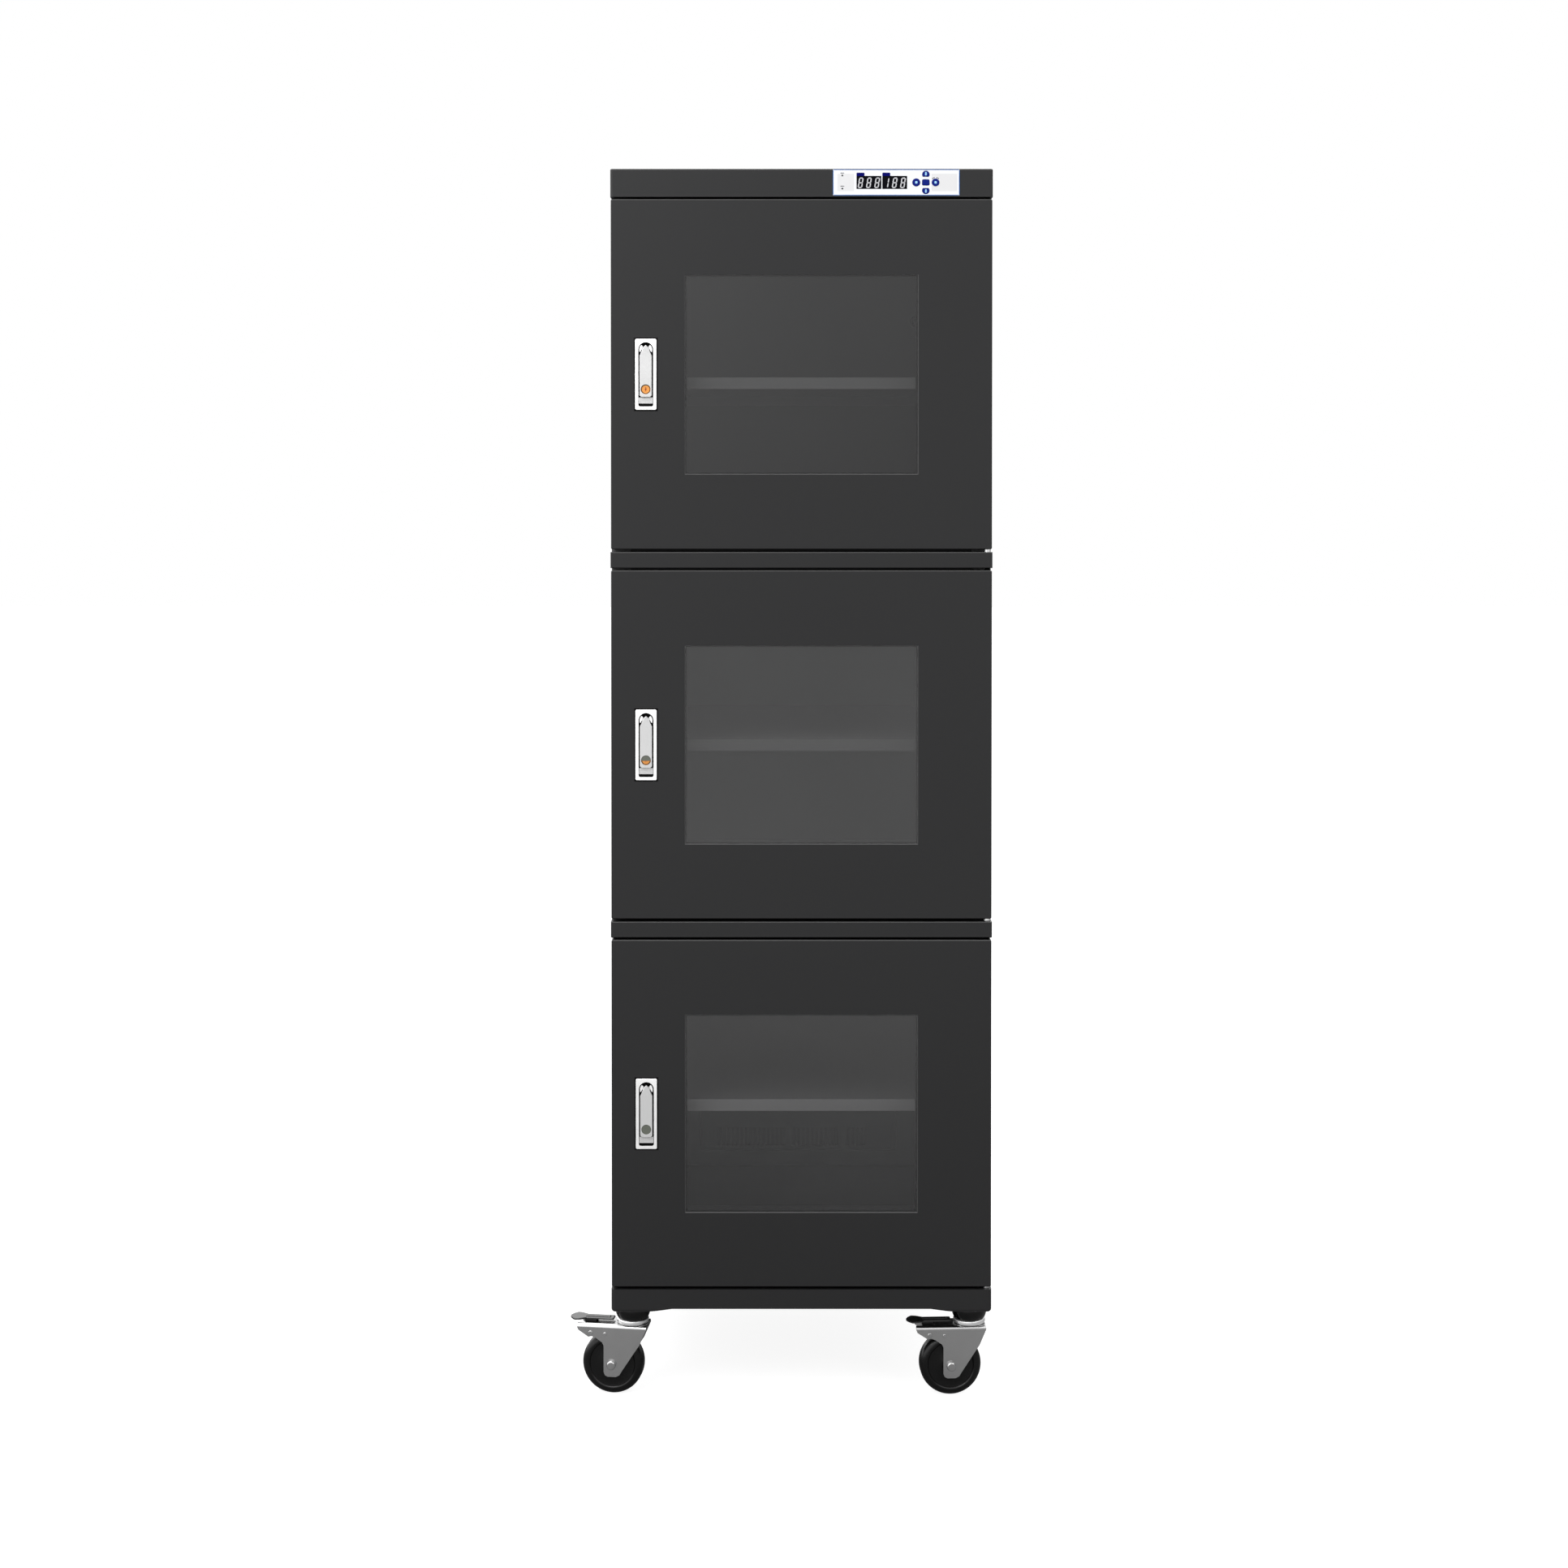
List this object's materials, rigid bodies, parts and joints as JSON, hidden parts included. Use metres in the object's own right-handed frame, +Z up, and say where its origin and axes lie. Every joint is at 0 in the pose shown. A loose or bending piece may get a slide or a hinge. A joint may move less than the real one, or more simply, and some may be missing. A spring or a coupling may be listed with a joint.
{
  "type": "desiccator cabinet",
  "caption": "Tall electronic dry cabinet: glazed lockable doors stacked on one carcass, shelves, drying unit, control strip and swivel casters.",
  "frame": {"origin": "on the floor, under the middle of the cabinet's 598 x 710 mm footprint", "axes": "+Z up, door fronts face -Y, +X to the right as seen from the front"},
  "size_m": [0.7176, 0.7232, 1.943],
  "materials": {
    "dark_paint": "fine textured powder coat",
    "shelf_paint": "satin powder coat",
    "galvanised": "bright galvanised",
    "window_glass": "tinted, gloss",
    "seal_rubber": "matt",
    "chrome_zinc": "plated die-cast",
    "satin_zinc": "satin plated",
    "key_brass": "worn",
    "overlay_film": "printed film",
    "display_black": "gloss",
    "key_blue": "satin",
    "board_green": "lacquered",
    "unit_black": "moulded",
    "caster_steel": "zinc plated pressing",
    "caster_rubber": "moulded",
    "spacer_steel": "bright"
  },
  "bodies": {
    "cabinet": {"outer_panels": "dark_paint", "top_cap": "dark_paint", "base_pan": "dark_paint", "front_rails": "dark_paint", "hinge_pins": "spacer_steel", "shelves": "shelf_paint", "shelf_supports": "galvanised", "drying_unit": "unit_black", "humidity_sensor": "unit_black", "control_overlay": "overlay_film", "displays": "display_black", "control_board": "board_green", "power_inlet": "unit_black", "caster_stems": "caster_steel", "caster_bushes": "caster_rubber"},
    "key_left_body": {"key_left": "key_blue"},
    "key_right_body": {"key_right": "key_blue"},
    "key_up_body": {"key_up": "key_blue"},
    "key_down_body": {"key_down": "key_blue"},
    "key_set_body": {"key_set": "key_blue"},
    "lower_door": {"lower_door_skin": "dark_paint", "lower_door_liner": "dark_paint", "lower_door_glass": "window_glass", "lower_door_seal": "seal_rubber", "lower_lock_housing": "chrome_zinc"},
    "lower_lock_head": {"lower_lock_rotor": "satin_zinc"},
    "lower_handle": {"lower_lock_lever": "satin_zinc"},
    "lower_key": {"lower_key_plug": "key_brass"},
    "lower_shutter": {"lower_key_shutter": "satin_zinc"},
    "lower_button": {"lower_release_button": "chrome_zinc"},
    "middle_door": {"middle_door_skin": "dark_paint", "middle_door_liner": "dark_paint", "middle_door_glass": "window_glass", "middle_door_seal": "seal_rubber", "middle_lock_housing": "chrome_zinc"},
    "middle_lock_head": {"middle_lock_rotor": "satin_zinc"},
    "middle_handle": {"middle_lock_lever": "satin_zinc"},
    "middle_key": {"middle_key_plug": "key_brass"},
    "middle_shutter": {"middle_key_shutter": "satin_zinc"},
    "middle_button": {"middle_release_button": "chrome_zinc"},
    "upper_door": {"upper_door_skin": "dark_paint", "upper_door_liner": "dark_paint", "upper_door_glass": "window_glass", "upper_door_seal": "seal_rubber", "upper_lock_housing": "chrome_zinc"},
    "upper_lock_head": {"upper_lock_rotor": "satin_zinc"},
    "upper_handle": {"upper_lock_lever": "satin_zinc"},
    "upper_key": {"upper_key_plug": "key_brass"},
    "upper_shutter": {"upper_key_shutter": "satin_zinc"},
    "upper_button": {"upper_release_button": "chrome_zinc"},
    "front_left_caster": {"fork_front_left": "caster_steel"},
    "front_left_caster_wheel": {"wheel_front_left": "caster_rubber"},
    "front_left_brake": {"pedal_front_left": "caster_steel"},
    "front_right_caster": {"fork_front_right": "caster_steel"},
    "front_right_caster_wheel": {"wheel_front_right": "caster_rubber"},
    "front_right_brake": {"pedal_front_right": "caster_steel"},
    "rear_left_caster": {"fork_rear_left": "caster_steel"},
    "rear_left_caster_wheel": {"wheel_rear_left": "caster_rubber"},
    "rear_right_caster": {"fork_rear_right": "caster_steel"},
    "rear_right_caster_wheel": {"wheel_rear_right": "caster_rubber"}
  },
  "joints": [
    {"name": "key_left_press", "type": "slide", "parent": "cabinet", "child": "key_left_body", "axis": [0, 1, 0], "range_m": [0, 0.0005], "stiffness_N_per_m": 1500},
    {"name": "key_right_press", "type": "slide", "parent": "cabinet", "child": "key_right_body", "axis": [0, 1, 0], "range_m": [0, 0.0005], "stiffness_N_per_m": 1500},
    {"name": "key_up_press", "type": "slide", "parent": "cabinet", "child": "key_up_body", "axis": [0, 1, 0], "range_m": [0, 0.0005], "stiffness_N_per_m": 1500},
    {"name": "key_down_press", "type": "slide", "parent": "cabinet", "child": "key_down_body", "axis": [0, 1, 0], "range_m": [0, 0.0005], "stiffness_N_per_m": 1500},
    {"name": "key_set_press", "type": "slide", "parent": "cabinet", "child": "key_set_body", "axis": [0, 1, 0], "range_m": [0, 0.0005], "stiffness_N_per_m": 1500},
    {"name": "lower_door_hinge", "type": "hinge", "parent": "cabinet", "child": "lower_door", "pos_m": [0.292, -0.341, 0.4619], "axis": [0, 0, 1], "range_deg": [0, 110]},
    {"name": "lower_lock_head_turn", "type": "hinge", "parent": "lower_door", "child": "lower_lock_head", "pos_m": [-0.2434, -0.355, 0.50035], "axis": [0, 1, 0], "range_deg": [0, 90]},
    {"name": "lower_handle_lift", "type": "hinge", "parent": "lower_lock_head", "child": "lower_handle", "pos_m": [-0.2434, -0.356, 0.50035], "axis": [-1, 0, 0], "range_deg": [0, 40]},
    {"name": "lower_key_turn", "type": "hinge", "parent": "lower_handle", "child": "lower_key", "pos_m": [-0.2434, -0.355, 0.4384], "axis": [0, 1, 0], "range_deg": [0, 90]},
    {"name": "lower_button_press", "type": "slide", "parent": "lower_door", "child": "lower_button", "axis": [0, 1, 0], "range_m": [0, 0.002], "stiffness_N_per_m": 600},
    {"name": "lower_shutter_slide", "type": "slide", "parent": "lower_handle", "child": "lower_shutter", "axis": [0, 0, 1], "range_m": [0, 0.014]},
    {"name": "middle_door_hinge", "type": "hinge", "parent": "cabinet", "child": "middle_door", "pos_m": [0.292, -0.341, 1.0419], "axis": [0, 0, 1], "range_deg": [0, 110]},
    {"name": "middle_lock_head_turn", "type": "hinge", "parent": "middle_door", "child": "middle_lock_head", "pos_m": [-0.2434, -0.355, 1.08035], "axis": [0, 1, 0], "range_deg": [0, 90]},
    {"name": "middle_handle_lift", "type": "hinge", "parent": "middle_lock_head", "child": "middle_handle", "pos_m": [-0.2434, -0.356, 1.08035], "axis": [-1, 0, 0], "range_deg": [0, 40]},
    {"name": "middle_key_turn", "type": "hinge", "parent": "middle_handle", "child": "middle_key", "pos_m": [-0.2434, -0.355, 1.0184], "axis": [0, 1, 0], "range_deg": [0, 90]},
    {"name": "middle_button_press", "type": "slide", "parent": "middle_door", "child": "middle_button", "axis": [0, 1, 0], "range_m": [0, 0.002], "stiffness_N_per_m": 600},
    {"name": "middle_shutter_slide", "type": "slide", "parent": "middle_handle", "child": "middle_shutter", "axis": [0, 0, 1], "range_m": [-0.007, 0.007]},
    {"name": "upper_door_hinge", "type": "hinge", "parent": "cabinet", "child": "upper_door", "pos_m": [0.292, -0.341, 1.6219], "axis": [0, 0, 1], "range_deg": [0, 110]},
    {"name": "upper_lock_head_turn", "type": "hinge", "parent": "upper_door", "child": "upper_lock_head", "pos_m": [-0.2434, -0.355, 1.66035], "axis": [0, 1, 0], "range_deg": [0, 90]},
    {"name": "upper_handle_lift", "type": "hinge", "parent": "upper_lock_head", "child": "upper_handle", "pos_m": [-0.2434, -0.356, 1.66035], "axis": [-1, 0, 0], "range_deg": [0, 40]},
    {"name": "upper_key_turn", "type": "hinge", "parent": "upper_handle", "child": "upper_key", "pos_m": [-0.2434, -0.355, 1.5984], "axis": [0, 1, 0], "range_deg": [0, 90]},
    {"name": "upper_button_press", "type": "slide", "parent": "upper_door", "child": "upper_button", "axis": [0, 1, 0], "range_m": [0, 0.002], "stiffness_N_per_m": 600},
    {"name": "upper_shutter_slide", "type": "slide", "parent": "upper_handle", "child": "upper_shutter", "axis": [0, 0, 1], "range_m": [-0.014, 0]},
    {"name": "front_left_caster_swivel", "type": "hinge", "parent": "cabinet", "child": "front_left_caster", "pos_m": [-0.2685, -0.293, 0.121], "axis": [0, 0, 1], "continuous": true},
    {"name": "front_left_caster_wheel_roll", "type": "hinge", "parent": "front_left_caster", "child": "front_left_caster_wheel", "pos_m": [-0.2992, -0.28869, 0.049], "axis": [-0.1392, -0.9903, 0], "continuous": true},
    {"name": "front_left_brake_press", "type": "hinge", "parent": "front_left_caster", "child": "front_left_brake", "pos_m": [-0.33287, -0.28395, 0.0985], "axis": [-0.1392, -0.9903, 0], "range_deg": [0, 7]},
    {"name": "front_right_caster_swivel", "type": "hinge", "parent": "cabinet", "child": "front_right_caster", "pos_m": [0.2685, -0.293, 0.121], "axis": [0, 0, 1], "continuous": true},
    {"name": "front_right_caster_wheel_roll", "type": "hinge", "parent": "front_right_caster", "child": "front_right_caster_wheel", "pos_m": [0.23754, -0.29462, 0.049], "axis": [0.0523, -0.9986, 0], "continuous": true},
    {"name": "front_right_brake_press", "type": "hinge", "parent": "front_right_caster", "child": "front_right_brake", "pos_m": [0.20359, -0.2964, 0.0985], "axis": [0.0523, -0.9986, 0], "range_deg": [0, 7]},
    {"name": "rear_left_caster_swivel", "type": "hinge", "parent": "cabinet", "child": "rear_left_caster", "pos_m": [-0.2685, 0.289, 0.121], "axis": [0, 0, 1], "continuous": true},
    {"name": "rear_left_caster_wheel_roll", "type": "hinge", "parent": "rear_left_caster", "child": "rear_left_caster_wheel", "pos_m": [-0.23976, 0.30061, 0.049], "axis": [-0.3746, 0.9272, 0], "continuous": true},
    {"name": "rear_right_caster_swivel", "type": "hinge", "parent": "cabinet", "child": "rear_right_caster", "pos_m": [0.2685, 0.289, 0.121], "axis": [0, 0, 1], "continuous": true},
    {"name": "rear_right_caster_wheel_roll", "type": "hinge", "parent": "rear_right_caster", "child": "rear_right_caster_wheel", "pos_m": [0.29933, 0.29224, 0.049], "axis": [-0.1045, 0.9945, 0], "continuous": true}
  ]
}
